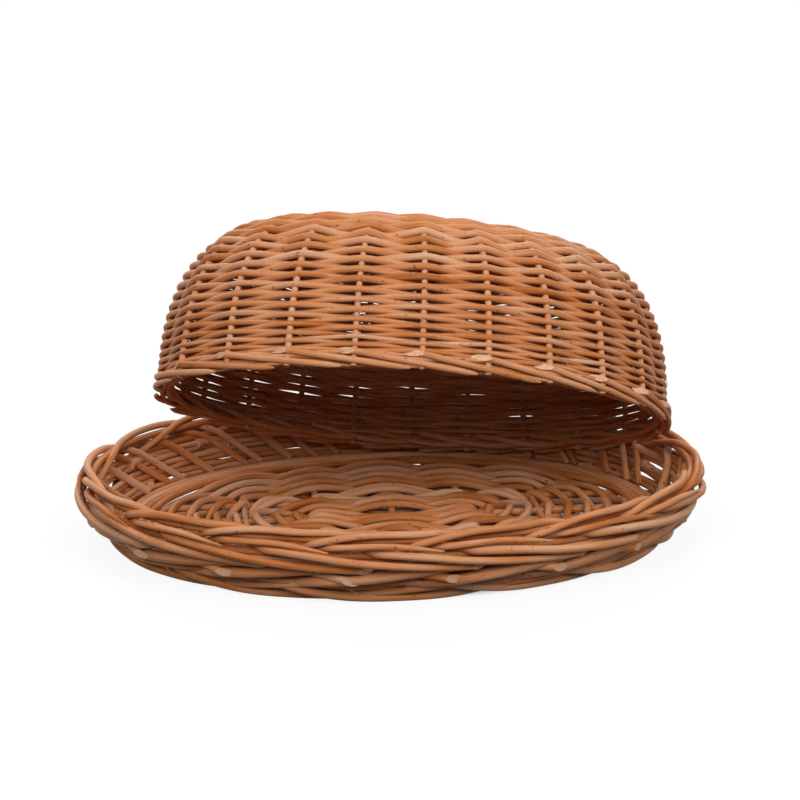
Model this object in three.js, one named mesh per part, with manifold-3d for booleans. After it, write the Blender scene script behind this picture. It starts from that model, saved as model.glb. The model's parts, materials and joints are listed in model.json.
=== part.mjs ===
// Oval wicker bread box: a low tray with a rolled border, and a loose domed lid
// that stands tilted in it. Millimetres, +Z up, origin under the tray's centre.
import * as THREE from 'three';
import { mergeVertices } from 'three/addons/utils/BufferGeometryUtils.js';
import Module from 'manifold-3d';

const wasm = await Module();
wasm.setup();

// Fit between pieces that touch
const CLEARANCE = 0.3;

// Lid side, shoulder and crown: relief is how far a row sinks where it goes under a stick
const LID_LENGTH = 368;
const LID_WIDTH = 260;
const LID_LEAN = 0.09;
const SHOULDER_START = 40;
const SHOULDER_INSET = 53.5;
const SHOULDER_SPLIT_SHARE = 0.5;
const CROWN_EDGE_HEIGHT = 124.8;
const CROWN_DOME_HEIGHT = 9.8;
const CROWN_COVER = 1.4;
const CROWN_RELIEF = 2.8;
const CROWN_ROW_PITCH = 4.7;
const CROWN_LONG_STICKS = 2;
const CROWN_LONG_PITCH = 34;
const CROWN_SHORT_STICKS = 3;
const CROWN_SHORT_PITCH = 44;

// Lid stakes and the depth of weave over them, and the rim border
const LID_STAKES = 22;
const LID_STAKE_DIAMETER = 4.8;
const LID_STAKE_COVER = 2.3;
const RIM_HEIGHT = 13;
const RIM_THICKNESS = 13.5;
const RIM_ROUNDING = 3;
const RIM_PROUD = 1.5;

// Tray: room round the shut lid at the base and inside the border
const SEAT_ROOM = 4;
const BORDER_ROOM = 20;
const BORDER_THICKNESS = 16;
const BORDER_HEIGHT = 20;
const BORDER_TOP = 54;

// Tray foot and base: the lid's rim stands on a level seat round the base's edge
const FOOT_HEIGHT = 9;
const FOOT_ROUNDING = 2.5;
const BASE_UNDERSIDE = 4;
const BASE_COVER = 0.8;
const BASE_RELIEF = 2.2;
const BASE_ROW_PITCH = 7;
const BASE_SEAT_WIDTH = 14;
const BASE_LONG_STICKS = 3;
const BASE_LONG_PITCH = 34;
const BASE_SHORT_STICKS = 5;
const BASE_SHORT_PITCH = 52;

// Tray stakes, which slant up through the wall, and the depth of wall over them
const TRAY_STAKES = 16;
const TRAY_STAKE_DIAMETER = 5.6;
const TRAY_STAKE_COVER = 0.9;
const TRAY_STAKE_RUN = 44;
const TRAY_STAKE_END_PROUD = 1;
const TRAY_STAKE_START = 5;

// Sticks of the base and the crown: cheeks are left beside the slits for the long ones
const LONG_STICK_DIAMETER = 3.8;
const STICK_CHEEK = 1.1;

// Where the lid stands: its play in the tray when shut, the rim point that it
// tilts on, how far the tilt axis rises from level, and the opening angle
const LID_SEAT_GAP = 0.5;
const LID_PLAY_X = 3;
const LID_PLAY_Y = -3;
const PIVOT_ANGLE = 71;
const TILT_AXIS_ANGLE = 8.8;
const LID_OPEN_ANGLE = 29.3;

// Facets
const FACETS_PER_TRAY_STAKE = 3;
const FACETS_PER_LID_STAKE = 2;
const BORDER_SECTION_FACETS = 8;
const ROD_SIDES = 6;
const BAND_STEPS = 3;
const LEVEL_STICK_SHARES = [-1, 1];
const DOMED_STICK_SHARES = [-1, -0.6, -0.2, 0.2, 0.6, 1];
const TRAY_STAKE_SHARES = [0, 1 / 3, 2 / 3, 1];
const CROWN_RING_SHARES = [0.35, 0.7, 1];
const TURN_SHARE = 0.01;
const OVAL_STEPS = 1440;

// Sizes that follow from these
const SHORT_STICK_DIAMETER = LONG_STICK_DIAMETER + 2 * (STICK_CHEEK + CLEARANCE);
const LID_WALL = LID_STAKE_DIAMETER + 2 * (LID_STAKE_COVER + CLEARANCE);
const CROWN_BED = SHORT_STICK_DIAMETER + 2 * (CROWN_COVER + CLEARANCE);
const WALL_THICKNESS = TRAY_STAKE_DIAMETER + 2 * (TRAY_STAKE_COVER + CLEARANCE);
const BASE_BED = SHORT_STICK_DIAMETER + 2 * (BASE_COVER + CLEARANCE);

const degrees = Math.PI / 180;
const willow = { weave: 0xb5764c, rod: 0xa5633a, pale: 0xc18a5e };

// Lengths along the lid's rim oval, up to each of many even steps of angle
const stepAngle = (2 * Math.PI) / OVAL_STEPS;
const edgeLengths = [0];
for (let i = 0; i < OVAL_STEPS; i += 1) {
  const angle = (i + 0.5) * stepAngle;
  const pace = Math.hypot(LID_LENGTH * Math.sin(angle), LID_WIDTH * Math.cos(angle)) / 2;
  edgeLengths.push(edgeLengths[i] + pace * stepAngle);
}
const edgeLength = edgeLengths[OVAL_STEPS];

// The oval's angle at a share of the way round, measured along its edge
function ovalAngle(share) {
  const rounds = Math.floor(share);
  const length = (share - rounds) * edgeLength;
  const i = Math.max(edgeLengths.findIndex((reached) => reached >= length), 1);
  const within = (length - edgeLengths[i - 1]) / (edgeLengths[i] - edgeLengths[i - 1]);
  return 2 * Math.PI * rounds + (i - 1 + within) * stepAngle;
}

// A closed ring over ovals: each section point is [half length, half width, height]
function ovalRing(section, facets) {
  const position = [];
  const index = [];
  const count = section.length;
  for (let i = 0; i < facets; i += 1) {
    const angle = ovalAngle(i / facets);
    for (const [a, b, z] of section) {
      position.push(a * Math.cos(angle), b * Math.sin(angle), z);
    }
    const next = (i + 1) % facets;
    for (let j = 0; j < count; j += 1) {
      const k = (j + 1) % count;
      index.push(i * count + j, next * count + j, next * count + k);
      index.push(i * count + j, next * count + k, i * count + k);
    }
  }
  return indexed(position, index);
}

// A closed plate over rings, from under the centre, round the edge, to the top: each ring
// gives its point at an angle
function ovalPlate(rings, facets, bottom, top) {
  const position = [];
  const index = [];
  const count = rings.length;
  const lowest = facets * count;
  const highest = lowest + 1;
  for (let i = 0; i < facets; i += 1) {
    const angle = THREE.MathUtils.euclideanModulo(ovalAngle(i / facets), 2 * Math.PI);
    for (const ring of rings) {
      position.push(...ring(angle));
    }
    const next = (i + 1) % facets;
    index.push(lowest, next * count, i * count);
    index.push(highest, i * count + count - 1, next * count + count - 1);
    for (let j = 0; j + 1 < count; j += 1) {
      index.push(i * count + j, next * count + j, next * count + j + 1);
      index.push(i * count + j, next * count + j + 1, i * count + j + 1);
    }
  }
  position.push(0, 0, bottom, 0, 0, top);
  return indexed(position, index);
}

function levelRing(a, b, z) {
  return (angle) => [a * Math.cos(angle), b * Math.sin(angle), z];
}

// Angles at which an oval crosses the sticks of a bed, in order
function crossings(a, b, sides) {
  const angles = [];
  for (const side of sides.long.filter((y) => Math.abs(y) < b)) {
    angles.push(Math.asin(side / b), Math.PI - Math.asin(side / b));
  }
  for (const side of sides.short.filter((x) => Math.abs(x) < a)) {
    angles.push(Math.acos(side / a), -Math.acos(side / a));
  }
  const wrapped = angles.map((angle) => THREE.MathUtils.euclideanModulo(angle, 2 * Math.PI));
  return wrapped.sort((first, second) => first - second);
}

// How a row lies at an angle: 0 over a stick, 1 under it, with a smooth wave between
function sinking(angle, angles, row) {
  const passed = angles.filter((crossing) => crossing <= angle).length;
  const before = passed > 0 ? angles[passed - 1] : angles.at(-1) - 2 * Math.PI;
  const after = passed < angles.length ? angles[passed] : angles[0] + 2 * Math.PI;
  const phase = passed + (angle - before) / (after - before);
  return (1 + Math.cos(Math.PI * (phase + row))) / 2;
}

// The rows of a woven face, from its edge in: each sinks where it goes under a stick
function wovenRows(a, b, sides, pitch, relief, face) {
  const rows = [];
  for (let depth = 0; depth < b - pitch; depth += pitch) {
    const row = rows.length;
    const angles = crossings(a - depth, b - depth, sides);
    rows.push((angle) => {
      const x = (a - depth) * Math.cos(angle);
      const y = (b - depth) * Math.sin(angle);
      return [x, y, face(x, y) - relief * sinking(angle, angles, row)];
    });
  }
  return rows;
}

function indexed(position, index) {
  const geometry = new THREE.BufferGeometry();
  geometry.setAttribute('position', new THREE.Float32BufferAttribute(position, 3));
  geometry.setIndex(index);
  geometry.computeVertexNormals();
  return geometry;
}

// A round rod through the points of a path, square to it at each point
function rod(points, diameter) {
  const position = [];
  const index = [];
  const last = points.length - 1;
  const across = new THREE.Vector3();
  points.forEach((point, i) => {
    const from = points[Math.max(i - 1, 0)];
    const to = points[Math.min(i + 1, last)];
    const along = to.clone().sub(from).normalize();
    if (i === 0) {
      across.set(along.y, -along.x, 0);
    }
    across.addScaledVector(along, -across.dot(along)).normalize();
    const other = along.clone().cross(across);
    for (let j = 0; j < ROD_SIDES; j += 1) {
      const turn = (2 * Math.PI * j) / ROD_SIDES;
      const corner = point.clone();
      corner.addScaledVector(across, (diameter / 2) * Math.cos(turn));
      corner.addScaledVector(other, (diameter / 2) * Math.sin(turn));
      position.push(corner.x, corner.y, corner.z);
      const k = (j + 1) % ROD_SIDES;
      const ring = i * ROD_SIDES;
      if (i < last) {
        index.push(ring + j, ring + k, ring + ROD_SIDES + k);
        index.push(ring + j, ring + ROD_SIDES + k, ring + ROD_SIDES + j);
      }
    }
  });
  const end = last * ROD_SIDES;
  for (let j = 1; j + 1 < ROD_SIDES; j += 1) {
    index.push(0, j + 1, j);
    index.push(end, end + j, end + j + 1);
  }
  return indexed(position, index);
}

// The same path, run on past both of its ends
function extended(points, length) {
  const last = points.length - 1;
  const before = points[0].clone().sub(points[1]).setLength(length).add(points[0]);
  const after = points[last].clone().sub(points[last - 1]).setLength(length).add(points[last]);
  return [before, ...points, after];
}

function solidOf(geometry) {
  const bare = geometry.clone();
  bare.deleteAttribute('normal');
  bare.deleteAttribute('uv');
  const merged = mergeVertices(bare, 1e-4);
  return new wasm.Manifold(new wasm.Mesh({
    numProp: 3,
    vertProperties: merged.attributes.position.array,
    triVerts: Uint32Array.from(merged.index.array),
  }));
}

function cut(geometry, tools) {
  let solid = solidOf(geometry);
  for (const tool of tools) {
    solid = solid.subtract(solidOf(tool));
  }
  const mesh = solid.getMesh();
  return indexed(mesh.vertProperties, Array.from(mesh.triVerts));
}

function piece(group, name, geometry, color, roughness) {
  const material = new THREE.MeshStandardMaterial({ color, roughness, metalness: 0 });
  const mesh = new THREE.Mesh(geometry, material);
  mesh.name = name;
  group.add(mesh);
}

// Where the sticks of a bed lie, evenly to both sides of its middle
function stickSides({ count, pitch }) {
  const sides = [];
  for (let i = 0; i < count; i += 1) {
    sides.push((i - (count - 1) / 2) * pitch);
  }
  return sides;
}

// A level or domed bed of sticks: thin long ones threaded through thick short ones
function stickBed(halfLength, halfWidth, middle, sides, shares) {
  const bed = { long: [], short: [], tools: [] };
  const overrun = WALL_THICKNESS;
  const lay = (kind, diameter, halfRun, halfSide, place) => {
    for (const side of sides[kind]) {
      const reach = (Math.abs(side) + diameter / 2) / halfSide;
      const edge = halfRun * Math.sqrt(1 - reach * reach);
      const dip = place(0, side).z - place(edge, side).z;
      const half = edge - CLEARANCE - (dip / edge) * diameter;
      const points = shares.map((share) => place(share * half, side));
      const bore = rod(extended(points, overrun), diameter + 2 * CLEARANCE);
      bed[kind].push({ geometry: rod(points, diameter), bore });
      bed.tools.push(bore);
    }
  };
  lay('long', LONG_STICK_DIAMETER, halfLength, halfWidth,
    (run, side) => new THREE.Vector3(run, side, middle(run, side)));
  lay('short', SHORT_STICK_DIAMETER, halfWidth, halfLength,
    (run, side) => new THREE.Vector3(side, run, middle(side, run)));
  return bed;
}

function addSticks(group, prefix, bed) {
  bed.long.forEach((stick, i) => {
    piece(group, `${prefix}_long_stick_${i + 1}`, stick.geometry, willow.rod, 0.6);
  });
  const slits = bed.long.map((stick) => stick.bore);
  bed.short.forEach((stick, i) => {
    piece(group, `${prefix}_short_stick_${i + 1}`, cut(stick.geometry, slits), willow.rod, 0.6);
  });
}

// Tray
const trayFacets = TRAY_STAKES * FACETS_PER_TRAY_STAKE;
const borderMiddle = BORDER_TOP - BORDER_HEIGHT / 2;
const wallBottom = FOOT_HEIGHT + CLEARANCE;
const wallTop = BORDER_TOP - BORDER_HEIGHT - CLEARANCE;
const baseTop = BASE_UNDERSIDE + BASE_BED + BASE_RELIEF;

// An oval at a height, some way out from the lid's rim
function trayOval(out, z) {
  return [LID_LENGTH / 2 + out, LID_WIDTH / 2 + out, z];
}

// The wall's outer face flares in a straight line from the foot to the border
function wallOut(z) {
  const share = (z - wallBottom) / (wallTop - wallBottom);
  const top = BORDER_ROOM + (BORDER_THICKNESS + WALL_THICKNESS) / 2;
  return THREE.MathUtils.lerp(SEAT_ROOM + WALL_THICKNESS, top, share);
}

function wallRing() {
  return ovalRing([
    trayOval(SEAT_ROOM, wallBottom),
    trayOval(wallOut(wallBottom), wallBottom),
    trayOval(wallOut(wallTop), wallTop),
    trayOval(wallOut(wallTop) - WALL_THICKNESS, wallTop),
    trayOval(SEAT_ROOM, baseTop),
  ], trayFacets);
}

function footRing() {
  const outer = SEAT_ROOM + WALL_THICKNESS;
  return ovalRing([
    trayOval(SEAT_ROOM, 0),
    trayOval(outer - FOOT_ROUNDING, 0),
    trayOval(outer, FOOT_ROUNDING),
    trayOval(outer, FOOT_HEIGHT),
    trayOval(SEAT_ROOM, FOOT_HEIGHT),
  ], trayFacets);
}

function borderRing() {
  const section = [];
  const corner = 1 / Math.cos(Math.PI / BORDER_SECTION_FACETS);
  for (let i = 0; i < BORDER_SECTION_FACETS; i += 1) {
    const turn = (2 * Math.PI * (i + 0.5)) / BORDER_SECTION_FACETS;
    const out = BORDER_ROOM + (BORDER_THICKNESS / 2) * (1 + corner * Math.cos(turn));
    section.push(trayOval(out, borderMiddle + (BORDER_HEIGHT / 2) * corner * Math.sin(turn)));
  }
  return ovalRing(section, trayFacets);
}

function trayStakePath(number) {
  const start = (number + 0.5) / TRAY_STAKES;
  const run = TRAY_STAKE_RUN / edgeLength;
  const low = wallBottom + TRAY_STAKE_START;
  const high = wallTop - TRAY_STAKE_DIAMETER / 2;
  return TRAY_STAKE_SHARES.map((share) => {
    const z = THREE.MathUtils.lerp(low, high, share);
    const depth = THREE.MathUtils.lerp(-TRAY_STAKE_END_PROUD, WALL_THICKNESS / 2, Math.sqrt(share));
    const [a, b] = trayOval(wallOut(z) - depth, z);
    const angle = ovalAngle(start + run * share);
    return new THREE.Vector3(a * Math.cos(angle), b * Math.sin(angle), z);
  });
}

function buildTray() {
  const tray = new THREE.Group();
  piece(tray, 'tray_foot', footRing(), willow.rod, 0.55);
  piece(tray, 'tray_border', borderRing(), willow.weave, 0.5);

  const bores = [];
  for (let i = 0; i < TRAY_STAKES; i += 1) {
    const path = trayStakePath(i);
    const name = `tray_stake_${String(i + 1).padStart(2, '0')}`;
    piece(tray, name, rod(path, TRAY_STAKE_DIAMETER), willow.pale, 0.55);
    const bore = TRAY_STAKE_DIAMETER + 2 * CLEARANCE;
    bores.push(rod(extended(path, WALL_THICKNESS), bore));
  }
  piece(tray, 'tray_wall', cut(wallRing(), bores), willow.weave, 0.55);

  buildBase(tray);
  return tray;
}

function buildBase(tray) {
  const [a, b] = trayOval(SEAT_ROOM - CLEARANCE, 0);
  const sides = {
    long: stickSides({ count: BASE_LONG_STICKS, pitch: BASE_LONG_PITCH }),
    short: stickSides({ count: BASE_SHORT_STICKS, pitch: BASE_SHORT_PITCH }),
  };
  const [seatA, seatB] = trayOval(SEAT_ROOM - CLEARANCE - BASE_SEAT_WIDTH, 0);
  const rows = wovenRows(seatA - BASE_ROW_PITCH, seatB - BASE_ROW_PITCH, sides,
    BASE_ROW_PITCH, BASE_RELIEF, () => baseTop);
  const rings = [
    levelRing(a, b, BASE_UNDERSIDE),
    levelRing(a, b, baseTop),
    levelRing(seatA, seatB, baseTop),
    ...rows,
  ];
  const plate = ovalPlate(rings, trayFacets, BASE_UNDERSIDE, baseTop - BASE_RELIEF / 2);
  const middle = BASE_UNDERSIDE + BASE_BED / 2;
  const bed = stickBed(a, b, () => middle, sides, LEVEL_STICK_SHARES);
  piece(tray, 'tray_base_weave', cut(plate, bed.tools), willow.weave, 0.6);
  addSticks(tray, 'tray_base', bed);
}

// Lid, in its own frame: the rim's underside lies at z = 0
const lidFacets = LID_STAKES * FACETS_PER_LID_STAKE;
const sideBottom = RIM_HEIGHT + CLEARANCE;

// A point of the straight part of the lid's side, some depth in from its outer face
function sidePoint(z, depth) {
  return { inset: RIM_PROUD + LID_LEAN * z + depth * Math.hypot(1, LID_LEAN), z };
}

// A point of the shoulder: turn 0 is its foot and turn 1 the crown's edge
function shoulderPoint(turn, depth) {
  const bend = turn * (Math.PI / 2);
  const rise = CROWN_EDGE_HEIGHT - SHOULDER_START;
  const z = SHOULDER_START + rise * Math.sin(bend);
  const inset = RIM_PROUD + LID_LEAN * z + SHOULDER_INSET * (1 - Math.cos(bend));
  const up = rise * Math.cos(bend);
  const inward = LID_LEAN * up + SHOULDER_INSET * Math.sin(bend);
  const length = Math.hypot(up, inward);
  return { inset: inset + (depth * up) / length, z: z - (depth * inward) / length };
}

// The straight part's line at a depth, up to just below the shoulder's foot
function wallLine(depth) {
  const top = shoulderPoint(0, depth);
  return [sidePoint(sideBottom, depth), { inset: top.inset, z: top.z - CLEARANCE }];
}

// A stretch of the shoulder's line at a depth
function shoulderLine(depth, from, to) {
  const line = [];
  for (let i = 0; i <= BAND_STEPS; i += 1) {
    line.push(shoulderPoint(THREE.MathUtils.lerp(from, to, i / BAND_STEPS), depth));
  }
  return line;
}

function lidOval({ inset, z }) {
  return [LID_LENGTH / 2 - inset, LID_WIDTH / 2 - inset, z];
}

function rimRing() {
  const section = [
    { inset: RIM_THICKNESS, z: RIM_ROUNDING },
    { inset: RIM_THICKNESS - RIM_ROUNDING, z: 0 },
    { inset: RIM_ROUNDING, z: 0 },
    { inset: 0, z: RIM_ROUNDING },
    { inset: 0, z: RIM_HEIGHT - RIM_ROUNDING },
    { inset: RIM_ROUNDING, z: RIM_HEIGHT },
    { inset: RIM_THICKNESS, z: RIM_HEIGHT },
  ];
  return ovalRing(section.map(lidOval), lidFacets);
}

// A stake runs up the middle of the side, from the rim border to the crown's edge
function lidStakePath(number) {
  const angle = ovalAngle(number / LID_STAKES);
  const middle = LID_WALL / 2;
  const end = shoulderPoint(1, middle);
  end.inset -= 2 * CLEARANCE;
  const line = [
    sidePoint(sideBottom + CLEARANCE, middle),
    ...shoulderLine(middle, 0, SHOULDER_SPLIT_SHARE),
    ...shoulderLine(middle, SHOULDER_SPLIT_SHARE, 1).slice(1, -1),
    end,
  ];
  return line.map((point) => {
    const [a, b, z] = lidOval(point);
    return new THREE.Vector3(a * Math.cos(angle), b * Math.sin(angle), z);
  });
}

function buildCrown(lid) {
  const { inset } = shoulderPoint(1, 0);
  const a = LID_LENGTH / 2 - inset - CLEARANCE;
  const b = LID_WIDTH / 2 - inset - CLEARANCE;
  const dome = (share) => CROWN_EDGE_HEIGHT + CROWN_DOME_HEIGHT * (1 - share * share);
  const face = (x, y) => dome(Math.hypot(x / a, y / b));
  const thickness = CROWN_BED + CROWN_RELIEF;
  const sides = {
    long: stickSides({ count: CROWN_LONG_STICKS, pitch: CROWN_LONG_PITCH }),
    short: stickSides({ count: CROWN_SHORT_STICKS, pitch: CROWN_SHORT_PITCH }),
  };
  const under = CROWN_RING_SHARES.map((share) => (
    levelRing(a * share, b * share, dome(share) - thickness)));
  const rows = wovenRows(a, b, sides, CROWN_ROW_PITCH, CROWN_RELIEF, face);
  const rings = [...under, ...rows];
  const plate = ovalPlate(rings, lidFacets, dome(0) - thickness, dome(0) - CROWN_RELIEF / 2);
  const middle = (x, y) => face(x, y) - CROWN_RELIEF - CROWN_BED / 2;
  const bed = stickBed(a, b, middle, sides, DOMED_STICK_SHARES);
  piece(lid, 'lid_crown_weave', cut(plate, bed.tools), willow.weave, 0.6);
  addSticks(lid, 'lid_crown', bed);
}

function buildLid() {
  const lid = new THREE.Group();
  piece(lid, 'lid_rim_border', rimRing(), willow.weave, 0.5);
  const bores = [];
  for (let i = 0; i < LID_STAKES; i += 1) {
    const path = lidStakePath(i);
    const name = `lid_stake_${String(i + 1).padStart(2, '0')}`;
    piece(lid, name, rod(path, LID_STAKE_DIAMETER), willow.pale, 0.55);
    const bore = LID_STAKE_DIAMETER + 2 * CLEARANCE;
    bores.push(rod(extended(path, LID_WALL / 2), bore));
  }
  const split = shoulderPoint(SHOULDER_SPLIT_SHARE, 0);
  const above = shoulderPoint(SHOULDER_SPLIT_SHARE + TURN_SHARE, 0);
  const arc = Math.hypot(above.inset - split.inset, above.z - split.z) / TURN_SHARE;
  const start = SHOULDER_SPLIT_SHARE + CLEARANCE / arc;
  const bands = {
    lid_side_weave: wallLine,
    lid_shoulder_weave: (depth) => shoulderLine(depth, 0, SHOULDER_SPLIT_SHARE),
    lid_top_weave: (depth) => shoulderLine(depth, start, 1),
  };
  for (const [name, line] of Object.entries(bands)) {
    const section = [...line(0), ...line(LID_WALL).toReversed()];
    const ring = ovalRing(section.map(lidOval), lidFacets);
    piece(lid, name, cut(ring, bores), willow.weave, 0.55);
  }
  buildCrown(lid);
  return lid;
}

// The shut lid, turned up about the point of its rim that stays down
function placeLid(lid) {
  const shut = new THREE.Vector3(LID_PLAY_X, LID_PLAY_Y, baseTop + LID_SEAT_GAP);
  const turn = PIVOT_ANGLE * degrees;
  const rise = TILT_AXIS_ANGLE * degrees;
  const a = LID_LENGTH / 2 - RIM_ROUNDING;
  const b = LID_WIDTH / 2 - RIM_ROUNDING;
  const pivot = new THREE.Vector3(a * Math.cos(turn), b * Math.sin(turn), 0).add(shut);
  const axis = new THREE.Vector3(-a * Math.sin(turn), b * Math.cos(turn), 0);
  axis.setLength(Math.cos(rise)).setZ(Math.sin(rise));
  const tilt = new THREE.Group();
  tilt.position.copy(pivot);
  tilt.quaternion.setFromAxisAngle(axis, LID_OPEN_ANGLE * degrees);
  lid.position.copy(shut).sub(pivot);
  tilt.add(lid);
  return tilt;
}

const breadBox = new THREE.Group();
breadBox.add(buildTray(), placeLid(buildLid()));

export default breadBox;
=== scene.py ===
"""Woven look of an oval wicker bread box: a tray with a rolled border, and a tilted domed lid."""

import json
import math

import bpy
import numpy as np
from mathutils import Matrix, Vector


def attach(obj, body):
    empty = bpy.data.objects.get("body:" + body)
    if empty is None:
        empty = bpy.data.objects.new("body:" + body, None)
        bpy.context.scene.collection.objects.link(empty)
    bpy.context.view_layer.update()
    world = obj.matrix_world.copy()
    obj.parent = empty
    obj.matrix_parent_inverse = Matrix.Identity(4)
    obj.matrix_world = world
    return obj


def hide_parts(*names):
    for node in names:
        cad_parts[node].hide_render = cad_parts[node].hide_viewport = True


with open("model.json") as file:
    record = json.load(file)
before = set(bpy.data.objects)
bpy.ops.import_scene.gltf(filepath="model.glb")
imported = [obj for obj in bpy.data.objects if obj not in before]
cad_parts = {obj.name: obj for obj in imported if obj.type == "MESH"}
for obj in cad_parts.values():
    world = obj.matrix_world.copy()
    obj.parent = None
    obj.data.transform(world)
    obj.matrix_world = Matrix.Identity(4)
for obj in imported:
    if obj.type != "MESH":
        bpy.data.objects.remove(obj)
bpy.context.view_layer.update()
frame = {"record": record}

MM = 0.001
TURN = 2 * math.pi
SEED = 16

# Rods, fine and thick. A spread is the range of a rod's radius against its usual one.
ROD_SIDES = 10
THICK_ROD_SIDES = 12
TONE_MIDDLE = 0.5
TONE_SPREAD = 0.2
GRAIN_SHIFT = 10

# Lid: half axes of its rim oval, and its profile
LID_HALF_LENGTH = 184 * MM
LID_HALF_WIDTH = 130 * MM
LID_LEAN = 0.09
LID_SHOULDER_START = 40 * MM
LID_SHOULDER_INSET = 53.5 * MM
LID_CROWN_EDGE = 124.8 * MM
LID_DOME = 9.8 * MM
LID_MIDDLE_INSET = 5.2 * MM
LID_SHUT = Vector((3, -3, 15.5)) * MM
PROFILE_STEPS = 240
OVAL_STEPS = 1440

# Lid stakes: the way off the side, in mm, at lengths up it
LID_STAKES = 22
LID_STAKE_RADIUS = 2.2 * MM
LID_STAKE_SPREAD = (0.92, 1.08)
LID_STAKE_TONE = 0.9
LID_STAKE_TONE_SPREAD = 0.1
LID_STAKE_STEPS = 60
LID_STAKE_START = 3 * MM
LID_STAKE_TUCK = 16 * MM
LID_STAKE_TUCK_RISE = 1 * MM
LID_STAKE_UPS = (0, 8, 16, 100, 125, 150)
LID_STAKE_OFFS = (0.8, 0.8, 1.7, 1.6, 0.8, 0.4)

# Lid rows: their pitch, in mm, and how full of rod it is, at lengths up the side
ROW_START = 5 * MM
ROW_PITCH_UPS = (0, 20, 30, 70, 150)
ROW_PITCHES = (2.4, 2.6, 3.2, 3.9, 4.8)
ROW_FULLNESSES = (0.58, 0.59, 0.59, 0.6, 0.595)
ROW_STEPS_PER_STAKE = 12
ROW_RODS = (10, 12)
ROW_TAPER = (1.06, 0.94)
ROW_WAVES = (3, 5, 8, 13, 22, 31)
ROW_WOBBLE = 0.3 * MM
ROW_RADIUS_WAVES = (2, 3, 7, 17)
ROW_RADIUS_WOBBLE = 0.03
ROW_SHARPNESS = 0.97
ROW_SWING = 0.82
RIM_BAND = 15 * MM
RIM_BAND_SWING = 0.6
SHOULDER_SHARE = 0.5

# Towards the crown the rows swing less, stand prouder, and sag between the stakes
TOP_REACHES = (26, 44)
TOP_SWINGS = (0.4, 1)
TOP_PROUD = 1.3 * MM
CHEVRON_SAG = 5 * MM
CHEVRON_REACHES = (10, 35, 43, 53)
CHEVRON_LEVELS = (0, 0.7, 1, 0)

# Lid crown
CROWN_PITCH = 4.7 * MM
CROWN_FIRST_ROW = 0.3
CROWN_ROW_RADIUS = CROWN_PITCH / 2
CROWN_ROW_SPREAD = (0.94, 1.06)
CROWN_ROW_SINK = 0.9
CROWN_ROW_STEPS = 200
CROWN_ROW_WOBBLE = 0.3 * MM
CROWN_HOLE = 4 * MM
CROWN_LONG_STICKS = (-17 * MM, 17 * MM)
CROWN_SHORT_STICKS = (-44 * MM, 0, 44 * MM)
CROWN_STICK_RADIUS = 2.2 * MM
CROWN_STICK_STEPS = 30
CROWN_MIDDLE_DEPTH = 7.4 * MM

# Lid rim strands: knots counted in stakes, with the length up the side and the way off it, in mm
RIM_STRAND_RADIUS = 2.3 * MM
RIM_STRAND_LEAD = 0.13
RIM_STRAND_SPAN = 1.95
RIM_STRAND_STEPS = 40
RIM_STRAND_STRAY = 0.25 * MM
RIM_STRAND_SLANT = 3.0
RIM_OUTER_SPREAD = (0.93, 1.07)
RIM_INNER_SPREAD = (0.9, 1.05)
RIM_KNOTS = np.array([0, RIM_STRAND_LEAD, 0.55, 1.1, 1.6, RIM_STRAND_SPAN])
RIM_OUTER = np.array([(13, 3.2), (12.4, 3.6), (9.6, 3.4), (6.2, 3.2), (3.6, 3.1), (2.2, 2.8)])
RIM_INNER = np.array([(9, -2.0), (8, -3.6), (6.5, -4.6), (8.0, -4.8), (12, -4.8), (14, -3.5)])
RIM_THIN_KNOTS = (0, 1.4, 1.8, RIM_STRAND_SPAN)
RIM_THINS = (1, 0.95, 0.85, 0.3)

# Tray strands stray from their way: along it in mm, then sideways and in slope
STRAND_STEP = 3 * MM
STRAND_SHIFT = 5
STRAND_STRAY = 0.45
STRAND_LEAN = 0.5

# Tray border: groups of three strands that rise inside and come out over or through the border.
# Each knot is the length along the strand, the way out from the lid's oval, and the height, in mm.
BORDER_GROUPS = 16
BORDER_GROUP_PACE = 74
BORDER_GROUP_STRAY = 0.08
BORDER_LENGTH = BORDER_GROUPS * BORDER_GROUP_PACE * MM
BORDER_CORE = (12 * MM, 36 * MM)
BORDER_SPREAD = (0.92, 1.08)
TOP_STRAND = np.array([
    (-40, 7, 13.5), (-30, 11.6, 21), (-21, 17.2, 29), (-12, 21.6, 36.5), (-4, 24, 41),
    (4, 28.8, 44.5), (16, 30.5, 48), (32, 30, 50.6), (72, 28.5, 51), (92, 25, 50),
    (108, 22.5, 46), (126, 24, 39), (140, 27, 34),
])
TOP_RADIUS = 2.5 * MM
MIDDLE_STRAND = np.array([
    (-26, 7, 13.5), (-16, 11.6, 21), (-7, 17.2, 29), (2, 21.6, 36), (10, 24, 40.3),
    (18, 29, 41.8), (32, 32.2, 43.6), (60, 33.2, 44.2), (78, 34.4, 42.4), (94, 34.8, 39.8),
])
MIDDLE_RADIUS = 2.3 * MM
MIDDLE_TIP_STEPS = 8
MIDDLE_THINS = (1.05, 0.9, 0.25)
LONG_STRAND = np.array([
    (2, 7, 13.5), (11, 11.6, 21), (20, 17.2, 29), (28, 21.6, 35.5), (35, 24, 39.3),
    (44, 29.8, 39), (56, 32.4, 38.9), (76, 34.4, 37.8), (100, 35, 34.8), (130, 33.8, 31.6),
    (160, 31, 28.9), (184, 28, 27),
])
LONG_RADIUS = 2.8 * MM
LONG_TAPER = (1.08, 0.85)
LONG_END_SHIFTS = (-10, 12)
LONG_CUT_TURN = 2
LONG_SLANT = 2.2

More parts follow.
